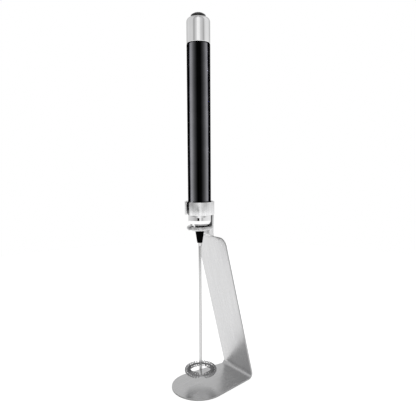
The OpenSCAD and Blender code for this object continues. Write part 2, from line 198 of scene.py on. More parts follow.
def foldSheet(name, outline, cutsAcross, cutsAlong, place, edge):
    flat = bmesh.new()
    flat.faces.new([flat.verts.new((across, along, 0)) for across, along in outline])
    for direction, cuts in (((1, 0, 0), cutsAcross), ((0, 1, 0), cutsAlong)):
        for cut in cuts:
            bmesh.ops.bisect_plane(flat, geom=flat.verts[:] + flat.edges[:] + flat.faces[:],
                                   plane_co=Vector(direction) * cut, plane_no=direction)
    flat.verts.index_update()
    solid = bmesh.new()
    fronts, backs = [], []
    for vert in flat.verts:
        front, back = place(vert.co.x, vert.co.y)
        fronts.append(solid.verts.new(front))
        backs.append(solid.verts.new(back))
    for face in flat.faces:
        solid.faces.new([fronts[v.index] for v in face.verts])
        solid.faces.new([backs[v.index] for v in reversed(face.verts)])
    rim = []
    for border in flat.edges:
        if len(border.link_faces) == 1:
            a, b = (v.index for v in border.verts)
            solid.faces.new((fronts[a], fronts[b], backs[b], backs[a]))
            rim += [(fronts[a], fronts[b]), (backs[a], backs[b])]
    flat.free()
    bmesh.ops.recalc_face_normals(solid, faces=solid.faces[:])
    edges = [solid.edges.get(pair) for pair in rim]
    bmesh.ops.bevel(solid, geom=edges, offset=edge, segments=3, profile=0.5, affect="EDGES")
    mesh = bpy.data.meshes.new(name)
    solid.to_mesh(mesh)
    solid.free()
    mesh.shade_smooth()
    mesh.set_sharp_from_angle(angle=math.radians(40))
    return mesh


def newGroup(name, inputs, outputs):
    group = bpy.data.node_groups.new(name, "ShaderNodeTree")
    for label, default in inputs.items():
        socket = group.interface.new_socket(name=label, in_out="INPUT", socket_type="NodeSocketFloat")
        socket.default_value = default
    for label, kind in outputs.items():
        group.interface.new_socket(name=label, in_out="OUTPUT", socket_type=kind)
    return group, group.nodes.new("NodeGroupInput"), group.nodes.new("NodeGroupOutput")


def mathNode(tree, operation, *values):
    node = tree.nodes.new("ShaderNodeMath")
    node.operation = operation
    for socket, value in zip(node.inputs, values):
        if isinstance(value, (int, float)):
            socket.default_value = value
        else:
            tree.links.new(value, socket)
    return node.outputs[0]


def rangeNode(tree, value, low, high, newLow, newHigh):
    node = tree.nodes.new("ShaderNodeMapRange")
    tree.links.new(value, node.inputs["Value"])
    for label, amount in (("From Min", low), ("From Max", high), ("To Min", newLow), ("To Max", newHigh)):
        if isinstance(amount, (int, float)):
            node.inputs[label].default_value = amount
        else:
            tree.links.new(amount, node.inputs[label])
    return node.outputs["Result"]


def noiseNode(tree, vector, scale, detail, roughness=0.5):
    node = tree.nodes.new("ShaderNodeTexNoise")
    tree.links.new(vector, node.inputs["Vector"])
    if isinstance(scale, (int, float)):
        node.inputs["Scale"].default_value = scale
    else:
        tree.links.new(scale, node.inputs["Scale"])
    node.inputs["Detail"].default_value = detail
    node.inputs["Roughness"].default_value = roughness
    return node.outputs["Fac"]


grainScale = {
    "arcRadius": 0.0104,        # metres, turns an angle round a ring into a length
    "spreads": (1.0, 0.16),     # fine streaks, then broad bands
    "shift": (517.3, 31.7),     # keeps the noise's own centre lines off the piece
}


def makeBrushedGroup():    # fine parallel scratches: along the sheet, or up a round piece
    group, given, made = newGroup("brushedGrain", {"Across": 4000, "Along": 60, "Round": 0},
                                  {"Streaks": "NodeSocketFloat", "Bands": "NodeSocketFloat"})
    where = group.nodes.new("ShaderNodeTexCoord")
    split = group.nodes.new("ShaderNodeSeparateXYZ")
    group.links.new(where.outputs["Object"], split.inputs[0])
    x, y, z = split.outputs
    arc = mathNode(group, "MULTIPLY", mathNode(group, "ARCTAN2", x, y), grainScale["arcRadius"])
    plain = mathNode(group, "SUBTRACT", 1.0, given.outputs["Round"])
    sideways = mathNode(group, "ADD", mathNode(group, "MULTIPLY", x, plain),
                        mathNode(group, "MULTIPLY", arc, given.outputs["Round"]))
    depth = mathNode(group, "MULTIPLY", y, plain)
    streaks = []
    for spread in grainScale["spreads"]:
        vector = group.nodes.new("ShaderNodeCombineXYZ")
        wide = mathNode(group, "MULTIPLY", given.outputs["Across"], spread)
        scaled = (mathNode(group, "MULTIPLY", sideways, wide),
                  mathNode(group, "MULTIPLY", depth, given.outputs["Along"]))
        for value, shift, socket in zip(scaled, grainScale["shift"], vector.inputs):
            group.links.new(mathNode(group, "ADD", value, shift), socket)
        group.links.new(mathNode(group, "MULTIPLY", z, given.outputs["Along"]), vector.inputs[2])
        streaks.append(noiseNode(group, vector.outputs[0], 1.0, 4, 0.6))
    group.links.new(streaks[0], made.inputs["Streaks"])
    group.links.new(streaks[1], made.inputs["Bands"])
    return group


def makeWearGroup():    # convex edges that handling has brightened
    group, given, made = newGroup("edgeWear", {"Start": 0.52, "Full": 0.6, "Breakup": 900},
                                  {"Wear": "NodeSocketFloat"})
    shape = group.nodes.new("ShaderNodeNewGeometry")
    where = group.nodes.new("ShaderNodeTexCoord")
    worn = rangeNode(group, shape.outputs["Pointiness"], given.outputs["Start"], given.outputs["Full"],
                     0.0, 1.0)
    patches = noiseNode(group, where.outputs["Object"], given.outputs["Breakup"], 3)
    group.links.new(mathNode(group, "MULTIPLY", worn, rangeNode(group, patches, 0.35, 0.65, 0.3, 1.0)),
                    made.inputs["Wear"])
    return group


def makeHandlingGroup():    # very faint finger smears
    group, given, made = newGroup("handling", {"Size": 90}, {"Smears": "NodeSocketFloat"})
    where = group.nodes.new("ShaderNodeTexCoord")
    smears = noiseNode(group, where.outputs["Object"], given.outputs["Size"], 5, 0.55)
    group.links.new(rangeNode(group, smears, 0.42, 0.68, 0.0, 1.0), made.inputs["Smears"])
    return group


def makeCreaseGroup():    # painted shade: corners and gaps that get little light are darkened, by how closely nearby surfaces shut them in
    group, given, made = newGroup("creaseShade", {"Reach": 0.002, "Open": 0.75, "Closed": 0.25},
                                  {"Crease": "NodeSocketFloat"})
    gap = group.nodes.new("ShaderNodeAmbientOcclusion")
    gap.samples = 6
    group.links.new(given.outputs["Reach"], gap.inputs["Distance"])
    group.links.new(rangeNode(group, gap.outputs["AO"], given.outputs["Open"], given.outputs["Closed"],
                              0.0, 1.0),
                    made.inputs["Crease"])
    return group


brushedGrain = makeBrushedGroup()
creaseShade = makeCreaseGroup()
edgeWear = makeWearGroup()
handling = makeHandlingGroup()
print("surface effects ready")


def newMaterial(name, **fixed):
    material = bpy.data.materials.new(name)
    material.use_nodes = True
    shader = material.node_tree.nodes["Principled BSDF"]
    for label, value in fixed.items():
        socket = shader.inputs[label.replace("_", " ")]
        socket.default_value = (*value, 1) if isinstance(value, tuple) else value
    return material, material.node_tree, shader


def placeGroup(tree, group, **values):
    node = tree.nodes.new("ShaderNodeGroup")
    node.node_tree = group
    for label, value in values.items():
        node.inputs[label.replace("_", " ")].default_value = value
    return node


def mixColours(tree, factor, first, second):
    node = tree.nodes.new("ShaderNodeMix")
    node.data_type = "RGBA"
    tree.links.new(factor, node.inputs["Factor"])
    for socket, colour in ((node.inputs[6], first), (node.inputs[7], second)):
        if isinstance(colour, tuple):
            socket.default_value = (*colour, 1)
        else:
            tree.links.new(colour, socket)
    return node.outputs[2]


def addBump(tree, shader, height, strength, distance):
    bump = tree.nodes.new("ShaderNodeBump")
    bump.inputs["Strength"].default_value = strength
    bump.inputs["Distance"].default_value = distance
    tree.links.new(height, bump.inputs["Height"])
    tree.links.new(bump.outputs[0], shader.inputs["Normal"])


def brushedSteel(name, look, edgeMask=None):
    material, tree, shader = newMaterial(name, Metallic=1.0)
    grain = placeGroup(tree, brushedGrain, Across=look["across"], Along=look["along"], Round=look["round"])
    wear = placeGroup(tree, edgeWear)
    marks = placeGroup(tree, handling)
    crease = placeGroup(tree, creaseShade, Reach=look["reach"])
    tone = mixColours(tree, rangeNode(tree, grain.outputs["Bands"], 0.35, 0.65, 0.0, 1.0),
                      look["dark"], look["light"])
    tone = mixColours(tree, wear.outputs["Wear"], tone, look["worn"])
    rough = rangeNode(tree, grain.outputs["Streaks"], 0.3, 0.7, look["rough"][0], look["rough"][1])
    rough = mathNode(tree, "ADD", rough, mathNode(tree, "MULTIPLY", marks.outputs["Smears"], 0.03))
    # sheared edges: a little rougher, and darkened with the cut colour as painted shade
    if edgeMask:
        cut = edgeMask(tree)
        tone = mixColours(tree, cut, tone, look["cut"])
        rough = mathNode(tree, "ADD", rough, mathNode(tree, "MULTIPLY", cut, 0.2))
    # painted shade: the look's crease colour is mixed in where creases and gaps get little light
    tree.links.new(mixColours(tree, crease.outputs["Crease"], tone, look["creaseShadeTone"]),
                   shader.inputs["Base Color"])
    tree.links.new(rough, shader.inputs["Roughness"])
    addBump(tree, shader, grain.outputs["Streaks"], look["bump"], 0.00004)
    return material


cutHeights = {                  # metres above the table
    "neck": 0.1102,             # the neck's sides, above this, are left bright, without the painted shade
    "foot": 0.00121,            # just over the foot's upper face
    "shoulders": 0.1,
}


def shadedCutEdges(tree):    # the sheet's sheared edges: both sides, the foot's round front and the shoulders; they are made rougher and given a darker tone as painted shade
    where = tree.nodes.new("ShaderNodeTexCoord")
    facing = tree.nodes.new("ShaderNodeSeparateXYZ")
    tree.links.new(where.outputs["Normal"], facing.inputs[0])
    spot = tree.nodes.new("ShaderNodeSeparateXYZ")
    tree.links.new(where.outputs["Object"], spot.inputs[0])
    sideways = rangeNode(tree, mathNode(tree, "ABSOLUTE", facing.outputs[0]), 0.75, 0.9, 0.0, 1.0)
    belowNeck = mathNode(tree, "LESS_THAN", spot.outputs[2], cutHeights["neck"])
    sideways = mathNode(tree, "MULTIPLY", sideways, belowNeck)
    level = rangeNode(tree, mathNode(tree, "ABSOLUTE", facing.outputs[2]), 0.5, 0.3, 0.0, 1.0)
    low = mathNode(tree, "LESS_THAN", spot.outputs[2], cutHeights["foot"])
    footFront = mathNode(tree, "MULTIPLY", level, low)
    upward = rangeNode(tree, facing.outputs[2], 0.6, 0.8, 0.0, 1.0)
    tall = mathNode(tree, "GREATER_THAN", spot.outputs[2], cutHeights["shoulders"])
    shoulders = mathNode(tree, "MULTIPLY", upward, tall)
    return mathNode(tree, "MAXIMUM", sideways, mathNode(tree, "MAXIMUM", footFront, shoulders))


def polishedMetal(name, colour, rough, smear=0.05, reach=0.0012):
    material, tree, shader = newMaterial(name, Metallic=1.0)
    marks = placeGroup(tree, handling)
    wear = placeGroup(tree, edgeWear)
    crease = placeGroup(tree, creaseShade, Reach=reach)
    dull = tuple(c * 0.94 for c in colour)
    tone = mixColours(tree, marks.outputs["Smears"], colour, dull)
    tone = mixColours(tree, wear.outputs["Wear"], tone, tuple(min(1, c * 1.05) for c in colour))
    # painted shade: creases and gaps that get little light go down to a much darker copy of the colour
    tree.links.new(mixColours(tree, crease.outputs["Crease"], tone, tuple(c * 0.15 for c in colour)),
                   shader.inputs["Base Color"])
    tree.links.new(rangeNode(tree, marks.outputs["Smears"], 0.0, 1.0, rough, rough + smear),
                   shader.inputs["Roughness"])
    return material


def smoothPlastic(name, colour, rough, grainSize=1800, bump=0.05, **fixed):
    material, tree, shader = newMaterial(name, **fixed)
    marks = placeGroup(tree, handling)
    wear = placeGroup(tree, edgeWear)
    lighter = tuple(min(1, c * 1.2) for c in colour)
    tone = mixColours(tree, marks.outputs["Smears"], colour, lighter)
    worn = tuple(min(1, c * 1.3) for c in colour)
    tree.links.new(mixColours(tree, wear.outputs["Wear"], tone, worn), shader.inputs["Base Color"])
    tree.links.new(rangeNode(tree, marks.outputs["Smears"], 0.0, 1.0, rough, rough + 0.08),
                   shader.inputs["Roughness"])
    where = tree.nodes.new("ShaderNodeTexCoord")
    addBump(tree, shader, noiseNode(tree, where.outputs["Object"], grainSize, 3), bump, 0.00005)
    return material


# in each look the crease colour is painted shade for creases and gaps, and the sheet's cut colour is
# painted shade on its sheared edges
sheetLook = {"across": 5200, "along": 45, "round": 0, "dark": (0.57, 0.57, 0.574),
             "light": (0.61, 0.61, 0.614), "worn": (0.61, 0.61, 0.614), "cut": (0.4, 0.4, 0.4),
             "creaseShadeTone": (0.1, 0.1, 0.1), "reach": 0.006, "rough": (0.24, 0.32), "bump": 0.12}
ringLook = {"across": 4200, "along": 40, "round": 1, "dark": (0.7, 0.7, 0.704),
            "light": (0.86, 0.86, 0.864), "worn": (0.84, 0.84, 0.84), "creaseShadeTone": (0.1, 0.1, 0.1),
            "reach": 0.001, "rough": (0.2, 0.32), "bump": 0.3}
seatLook = {"across": 4200, "along": 40, "round": 1, "dark": (0.55, 0.55, 0.554),
            "light": (0.66, 0.66, 0.664), "worn": (0.76, 0.76, 0.76), "creaseShadeTone": (0.08, 0.08, 0.08),
            "reach": 0.001, "rough": (0.22, 0.32), "bump": 0.2}
rodLook = {"across": 6000, "along": 30, "round": 1, "dark": (0.52, 0.52, 0.52),
           "light": (0.6, 0.6, 0.6), "worn": (0.7, 0.7, 0.7), "creaseShadeTone": (0.1, 0.1, 0.1), "reach": 0.001,
           "rough": (0.16, 0.24), "bump": 0.1}

sheetSteel = brushedSteel("sheetSteel", sheetLook, shadedCutEdges)
ringSteel = brushedSteel("ringSteel", ringLook)
seatSteel = brushedSteel("seatSteel", seatLook)
rodSteel = brushedSteel("rodSteel", rodLook)
# painted shade: the whisk's wire steels are far darker than plain steel, standing in for the shade in and
# under the coil; the hoop and spoke have a copy of their own
whiskSteelShaded = polishedMetal("whiskSteelShaded", (0.24, 0.24, 0.245), 0.05, reach=0.0006)
hoopSteelShaded = polishedMetal("hoopSteelShaded", (0.32, 0.32, 0.325), 0.2, reach=0.001)
chromePlate = polishedMetal("chromePlate", (0.86, 0.86, 0.865), 0.025, reach=0.0007)
barrelLacquer = smoothPlastic("barrelLacquer", (0.0015, 0.0015, 0.0016), 0.1, bump=0.01, Metallic=1.0,
                              Specular_Tint=(0.4, 0.4, 0.4))
conePlastic = smoothPlastic("conePlastic", (0.0005, 0.0005, 0.0006), 0.3, Specular_IOR_Level=0.01)
buttonPlastic = smoothPlastic("buttonPlastic", (0.002, 0.002, 0.0022), 0.2)
darkMoulding = smoothPlastic("darkMoulding", (0.03, 0.03, 0.032), 0.5, bump=0.2)
paleMoulding = smoothPlastic("paleMoulding", (0.75, 0.75, 0.73), 0.5, bump=0.15)
platedSteel = polishedMetal("platedSteel", (0.6, 0.6, 0.6), 0.3)
springSteel = polishedMetal("springSteel", (0.58, 0.58, 0.6), 0.2)
brassMetal = polishedMetal("brassMetal", (0.78, 0.6, 0.28), 0.22)
bronzeMetal = polishedMetal("bronzeMetal", (0.5, 0.34, 0.18), 0.45)
copperMetal = polishedMetal("copperMetal", (0.72, 0.36, 0.2), 0.3)
coreSteel = polishedMetal("coreSteel", (0.24, 0.25, 0.27), 0.45)
magnetStone = smoothPlastic("magnetStone", (0.06, 0.06, 0.065), 0.7, bump=0.4)
cellJacket = smoothPlastic("cellJacket", (0.06, 0.25, 0.14), 0.3)
sealRubber = smoothPlastic("sealRubber", (0.42, 0.08, 0.03), 0.55)

slotMaterials = {
    "stand_steel": sheetSteel, "barrel_black": barrelLacquer, "polished_chrome": chromePlate,
    "black_plastic": conePlastic, "button_black": buttonPlastic, "inner_plastic": darkMoulding,
    "sleeve_plastic": paleMoulding, "shaft_steel": rodSteel, "whisk_wire": whiskSteelShaded,
    "plain_steel": platedSteel, "spring_steel": springSteel, "bronze": bronzeMetal, "brass": brassMetal,
    "copper": copperMetal, "laminations": coreSteel, "magnet_ferrite": magnetStone,
    "cell_jacket": cellJacket, "seal_rubber": sealRubber,
}
slotOf = {part["node"]: part["material_slot"] for part in frame["record"]["subparts"]}
for nodeName, nodeObject in frame["nodes"].items():
    nodeObject.data.materials.clear()
    nodeObject.data.materials.append(slotMaterials[slotOf[nodeName]])
print("materials ready")


stand = {
    "sheet": 1.2 * mm,          # thickness
    "frontRadius": 19.9 * mm,   # round front of the foot
    "frontAhead": 1.5 * mm,     # its centre, ahead of the frother's axis
    "bendBack": 36.5 * mm,      # inner line of the bend, behind the axis
    "bendRadius": 2.8 * mm,
    "legHalf": 16 * mm,
    "leanTop": 108.5 * mm,      # height where the leg turns upright
    "topBend": 12 * mm,         # radius of that slight turn
    "shoulder": 110.1 * mm,
    "shoulderRadius": 6 * mm,
    "neckLow": 2.7 * mm,        # half widths of the neck
    "neckHigh": 3.8 * mm,
    "neckInside": 9.15 * mm,    # radius of the neck's and the guide ring's inner face
    "neckCurl": 4 * mm,         # height over which the flat neck turns round
    "edge": 0.14 * mm,          # rounding of the cut edges
}


def standSpine():    # side view of the sheet's front face: straight and turned stretches, end to end
    lean = math.atan((stand["bendBack"] - stand["neckInside"]) / (stand["leanTop"] - stand["sheet"]))
    bendRadius, topBend = stand["bendRadius"], stand["topBend"]
    bendReach = bendRadius / math.tan((math.pi / 2 - lean) / 2)
    topReach = topBend * math.tan(lean / 2)
    slope = math.hypot(stand["bendBack"] - stand["neckInside"], stand["leanTop"] - stand["sheet"])
    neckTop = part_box("stand_plate")[1].z
    return [
        (stand["bendBack"] - bendReach, 0, 0),
        (bendRadius * (math.pi / 2 + lean), math.pi / 2 + lean, bendRadius),
        (slope - bendReach - topReach, 0, 0),
        (topBend * lean, -lean, topBend),
        (neckTop - stand["leanTop"] - topReach, 0, 0),
    ]


def alongSpine(stretches, distance):    # depth, height and direction at a distance from the axis
    depth, height, angle = 0.0, stand["sheet"], 0.0
    for length, turn, radius in stretches:
        part = min(distance, length)
        if turn and part > 0:
            side = math.copysign(1, turn)
            swept = side * part / radius
            centre = (depth - side * radius * math.sin(angle), height + side * radius * math.cos(angle))
            angle += swept
            depth = centre[0] + side * radius * math.sin(angle)
            height = centre[1] - side * radius * math.cos(angle)
        else:
            depth += part * math.cos(angle)
            height += part * math.sin(angle)
        distance -= part
        if distance <= 0 and part < length:
            break
    return depth, height, angle


def makeStandPlate():
    stretches = standSpine()
    starts = [0]
    for stretch in stretches:
        starts.append(starts[-1] + stretch[0])
    bendStart, bendEnd, topStart, topEnd, neckTop = starts[1:]
    half, ahead, front = stand["legHalf"], stand["frontAhead"], stand["frontRadius"]
    reach = bendStart + ahead
    tangent = math.atan2(reach, half) - math.acos(front / math.hypot(reach, half))
    shoulder = neckTop - (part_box("stand_plate")[1].z - stand["shoulder"])
    rightSide = roundCorners([
        (stand["neckHigh"], neckTop),
        (stand["neckLow"], shoulder, 0.4 * mm),
        (half, shoulder, stand["shoulderRadius"]),
        (half, bendStart),
        (0, bendStart),
    ], 10)[:-1]
    arc = []
    steps = 72
    for k in range(steps + 1):
        a = tangent - (math.pi + 2 * tangent) * k / steps
        arc.append(Vector((front * math.cos(a), front * math.sin(a) - ahead)))
    leftSide = [Vector((-p.x, p.y)) for p in reversed(rightSide)]
    outline = rightSide + arc + leftSide
    bendCuts = [bendStart + (bendEnd - bendStart) * k / 14 for k in range(15)]
    topCuts = [topStart + (topEnd - topStart) * k / 4 for k in range(5)]
    neckCuts = [shoulder + (neckTop - shoulder) * k / 12 for k in range(12)]
    acrossCuts = [0.9 * mm * k for k in range(-3, 4)]

    def place(across, along):
        depth, height, angle = alongSpine(stretches, along)
        normal = Vector((0, -math.sin(angle), math.cos(angle)))
        if along <= 0:
            depth, height, normal = along, stand["sheet"], Vector((0, 0, 1))
        spot = Vector((across, depth, height))
        curl = min(1, max(0, (along - shoulder) / stand["neckCurl"]))
        if curl > 0:
            curl = curl * curl * (3 - 2 * curl)
            inside = stand["neckInside"]
            rolled = math.sqrt(max(0, inside ** 2 - across ** 2))
            spot.y -= (inside - rolled) * curl
            inward = Vector((-across / inside, -rolled / inside, 0))
            normal = normal.lerp(inward, curl).normalized()
        return spot, spot - normal * stand["sheet"]

    mesh = foldSheet("standSheet", outline, acrossCuts, bendCuts + topCuts + neckCuts, place, stand["edge"])
    piece = newPiece("stand_sheet", mesh, sheetSteel, "stand", "stand_steel", "stand_plate")
    flattenNormals(piece)


guide = {
    "slit": 1.5 * mm,           # half width of the front slit
    "corner": 0.8 * mm,         # rounding of the slit's corners
}


def makeGuideRing():
    low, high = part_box("guide_ring")
    inside, outside = stand["neckInside"], high.x
    insideEnd = math.pi - math.asin(guide["slit"] / inside)
    outsideEnd = math.pi - math.asin(guide["slit"] / outside)
    end = insideEnd * inside
    corner = guide["corner"]
    outline = roundCorners([(-end, low.z, corner), (end, low.z, corner),
                            (end, high.z, corner), (-end, high.z, corner)], 6)
    cuts = [end * k / 48 for k in range(-47, 48)]

    def place(along, height):
        a = along / inside
        b = a * outsideEnd / insideEnd
        return (Vector((inside * math.sin(a), inside * math.cos(a), height)),
                Vector((outside * math.sin(b), outside * math.cos(b), height)))

    mesh = foldSheet("guideRing", outline, cuts, [], place, stand["edge"])
    newPiece("stand_guide_ring", mesh, ringSteel, "stand", "stand_steel", "guide_ring")


seat = {
    "bore": 4.6 * mm,
    "thickness": 2.7 * mm,
    "slit": 1.8 * mm,           # half width of the front slit
    "edge": 1.1 * mm,
    "slitEnds": [(0.16, 0.0), (0.09, 0.05), (0.03, 0.14)],    # share smaller, and mm set back
    "slitBack": 0.2,            # mm that the full section is set back from the slit
    "bracketHalf": 3 * mm,
    "bracketFront": 5.55 * mm,
    "bracketLow": 110.3 * mm,
    "bracketHollow": 1.6 * mm,
}


def makeSeatRing():
    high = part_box("seat_ring")[1]
    top, outside = high.z, high.x
    bottom = top - seat["thickness"]
    section = roundCorners([
        (seat["bore"], bottom, 0.35 * mm), (outside, bottom, seat["edge"]),
        (outside, top, seat["edge"]), (seat["bore"], top, 0.25 * mm),
    ], 7)
    middle = sum(section, Vector((0, 0))) / len(section)
    steps = 90
    points, faces = [], []
    stations = [(0.0, inset, back) for inset, back in seat["slitEnds"]]
    stations += [(k / steps, 0, seat["slitBack"] if k in (0, steps) else 0) for k in range(steps + 1)]
    stations += [(1.0, inset, back) for inset, back in reversed(seat["slitEnds"])]
    for t, inset, back in stations:
        for p in section:
            shrunk = p.lerp(middle, inset * 0.6)
            slitHalf = seat["slit"] + back * mm
            start = math.asin(slitHalf / shrunk.x)
            a = start + (2 * math.pi - 2 * start) * t
            points.append((shrunk.x * math.sin(a), -shrunk.x * math.cos(a), shrunk.y))
    sides, rings = len(section), len(stations)
    for i in range(rings - 1):
        for k in range(sides):
            m = (k + 1) % sides
            faces.append((i * sides + k, i * sides + m, (i + 1) * sides + m, (i + 1) * sides + k))
    faces.append(tuple(range(sides)))
    faces.append(tuple((rings - 1) * sides + k for k in range(sides)))
    ring = meshFrom("seatRing", points, faces, 30)
    newPiece("stand_seat_ring", ring, seatSteel, "stand", "stand_steel", "seat_ring")


def makeSeatBracket():
    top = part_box("seat_ring")[1].z
    back, front, halfWide = stand["neckInside"] + 0.25 * mm, seat["bracketFront"], seat["bracketHalf"]
    low, hollow = seat["bracketLow"], seat["bracketHollow"]
    side = [(back, top - 0.1 * mm), (front, top - 0.1 * mm)]
    side += [(front + hollow * math.sin(a), low + hollow * math.cos(a))
             for a in [math.pi / 2 * k / 12 for k in range(13)]]
    side.append((back, low))
    count = len(side)
    points = [(x, y, z) for x in (-halfWide, halfWide) for y, z in side]
    faces = [tuple(range(count)), tuple(range(count, 2 * count))]
    faces += [(k, (k + 1) % count, count + (k + 1) % count, count + k) for k in range(count)]
    bracket = newPiece("stand_seat_bracket", meshFrom("seatBracket", points, faces, 30), seatSteel,
                       "stand", "stand_steel")
    soften = bracket.modifiers.new("softEdges", "BEVEL")
    soften.width = 0.35 * mm
    soften.segments = 3
    soften.limit_method = "ANGLE"
    flattenNormals(bracket)


makeStandPlate()
makeGuideRing()
makeSeatRing()
makeSeatBracket()
print("stand ready")


barrel = {
    "wall": 0.9 * mm,
    "rim": 0.8 * mm,            # rounding of the upper rim
}


def makeBarrel():
    low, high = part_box("barrel")
    outside, inside = high.x, high.x - barrel["wall"]
    profile = roundCorners([
        (inside, low.z, 0.15 * mm), (outside, low.z, 0.25 * mm),
        (outside, high.z, barrel["rim"]), (inside, high.z, 0.08 * mm),
    ], 8)
    newPiece("barrel_tube", lathe("barrelTube", profile, 160), barrelLacquer,
             "frother", "barrel_black", "barrel")


nose = {
    "curveTop": 122.7 * mm,     # height where the nose starts to curve in
    "tip": 5.4 * mm,            # radius of its flat end
    "curve": 5.1 * mm,          # radius of the curve
    "hole": 3.7 * mm,
    "floor": 120.2 * mm,        # height of the floor inside
    "room": 5.2 * mm,           # radius of the room above the floor
    "seam": 0.02 * mm,          # gap to the barrel
}


def makeNose():
    low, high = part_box("nose_cap")
    outside = high.x
    tip = Vector((nose["tip"], low.z))
    shoulder = Vector((outside, nose["curveTop"]))
    chord = shoulder - tip
    bow = nose["curve"]
    sag = math.sqrt(bow ** 2 - (chord.length / 2) ** 2)
    centre = (tip + shoulder) / 2 + Vector((-chord.y, chord.x)).normalized() * sag
    startAngle = math.atan2(tip.y - centre.y, tip.x - centre.x)
    endAngle = math.atan2(shoulder.y - centre.y, shoulder.x - centre.x)
    curve = []
    for k in range(1, 14):
        a = startAngle + (endAngle - startAngle) * k / 14
        curve.append((centre.x + bow * math.cos(a), centre.y + bow * math.sin(a)))
    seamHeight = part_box("barrel")[0].z - nose["seam"]
    spigot = outside - barrel["wall"]
    corners = [(nose["hole"], low.z, 0.15 * mm), (tip.x, tip.y, 0.3 * mm)] + curve + [
        (outside, nose["curveTop"], 0.12 * mm), (outside, seamHeight, 0.12 * mm), (spigot, seamHeight),
        (spigot, high.z, 0.3 * mm), (nose["room"], high.z), (nose["room"], nose["floor"]),
        (nose["hole"], nose["floor"])]
    newPiece("nose_shell", lathe("noseShell", roundCorners(corners, 5), 128, 25), chromePlate,
             "frother", "polished_chrome", "nose_cap")


cone = {
    "top": 3.65 * mm,           # radius under the nose
    "tip": 1.85 * mm,
    "hole": 1.46 * mm,
    "room": 2.3 * mm,           # radius of the room for the coupler
    "roomFloor": 112.9 * mm,
}


def makeCone():
    low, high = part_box("nose_cone")
    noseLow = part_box("nose_cap")[0].z
    corners = [(cone["hole"], low.z, 0.08 * mm), (cone["tip"], low.z, 0.35 * mm), (cone["top"], noseLow),
               (cone["top"], nose["floor"]), (high.x, nose["floor"]), (high.x, high.z),
               (cone["room"], high.z), (cone["room"], cone["roomFloor"]), (cone["hole"], cone["roomFloor"])]
    newPiece("cone_guide", lathe("coneGuide", roundCorners(corners, 6), 96), conePlastic,
             "frother", "black_plastic", "nose_cone")


def makeBush():
    low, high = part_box("shaft_bush")
    hole = 1.1 * mm
    corners = [(hole, low.z, 0.08 * mm), (high.x, low.z, 0.2 * mm), (high.x, high.z), (hole, high.z)]
    newPiece("bush_sleeve", lathe("bushSleeve", roundCorners(corners, 5), 64), rodSteel,
             "frother", "shaft_steel", "shaft_bush")


makeBarrel()
makeNose()
makeCone()
makeBush()
print("barrel and nose ready")


cap = {
    "inside": 6.8 * mm,
    "topWall": 1.6 * mm,
    "hole": 5.08 * mm,          # radius of the button's hole
    "shoulder": 3 * mm,         # rounding of the upper edge
}


def makeCap():
    low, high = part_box("top_cap")
    outside, inside, hole = high.x, cap["inside"], cap["hole"]
    ceiling = high.z - cap["topWall"]
    corners = [(inside, low.z, 0.1 * mm), (outside, low.z, 0.4 * mm), (outside, high.z, cap["shoulder"]),
               (hole, high.z, 0.25 * mm), (hole, ceiling), (inside, ceiling, 0.4 * mm)]
    newPiece("cap_shell", lathe("capShell", roundCorners(corners, 14), 160), chromePlate,
             "cap", "polished_chrome", "top_cap")


button = {
    "radius": 5 * mm,
    "straight": 1.4 * mm,       # height of the straight side above the cap
    "stem": 1.5 * mm,
    "flangeLow": 255.2 * mm,
    "flangeHigh": 1.65 * mm,    # thickness of the flange
}


def makeButton():
    low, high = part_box("power_button")
    radius, flange, stem = button["radius"], high.x, button["stem"]
    domeHigh = high.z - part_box("top_cap")[1].z - button["straight"]
    domeRadius = (radius ** 2 + domeHigh ** 2) / (2 * domeHigh)
    widest = math.asin(radius / domeRadius)
    dome = [(domeRadius * math.sin(widest * k / 16), high.z - domeRadius * (1 - math.cos(widest * k / 16)))
            for k in range(17)]
    base = button["flangeLow"]
    step = base + button["flangeHigh"]
    corners = dome + [(radius, step), (flange, step, 0.2 * mm), (flange, base, 0.2 * mm),
                      (stem, base), (stem, low.z, 0.2 * mm), (0, low.z)]
    newPiece("button_dome", lathe("buttonDome", roundCorners(corners, 5), 96), buttonPlastic,
             "button", "button_black", "power_button")


makeCap()
makeButton()
print("cap and button ready")


whisk = {
    "hoop": 9.5 * mm,           # radius of the hoop, to the middle of its wire
    "hoopWire": 0.6 * mm,
    "coilOutside": 2.16 * mm,
    "coilWire": 0.28 * mm,
    "turns": 30,
    "gap": 20,                  # degrees between the coil's ends
    "spoke": -34,               # degrees from +X
    "perTurn": 24,              # points on each turn of the coil
    "closing": 0.75,            # turns over which each end draws in to the hoop
}


def makeShaft():
    low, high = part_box("whisk_shaft")
    corners = [(0, low.z), (high.x, low.z, 0.5 * mm), (high.x, high.z, 0.1 * mm), (0, high.z)]
    profile = roundCorners(corners, 6)
    newPiece("shaft_rod", lathe("shaftRod", profile, 48), rodSteel, "spindle", "shaft_steel", "whisk_shaft")


def makeHoop():
    low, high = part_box("whisk_hoop")
    height = (low.z + high.z) / 2
    ring = []
    for k in range(120):
        a = 2 * math.pi * k / 120
        ring.append(Vector((whisk["hoop"] * math.cos(a), whisk["hoop"] * math.sin(a), height)))
    newPiece("whisk_hoop_wire", sweepWire("hoopWire", ring, whisk["hoopWire"], 14, True), hoopSteelShaded,
             "spindle", "whisk_wire", "whisk_hoop")
    a = math.radians(whisk["spoke"])
    out = Vector((math.cos(a), math.sin(a), 0))
    spoke = [out * (whisk["hoop"] * k / 10) + Vector((0, 0, height)) for k in range(11)]
    newPiece("whisk_spoke", sweepWire("spokeWire", spoke, whisk["hoopWire"], 14), hoopSteelShaded,
             "spindle", "whisk_wire")


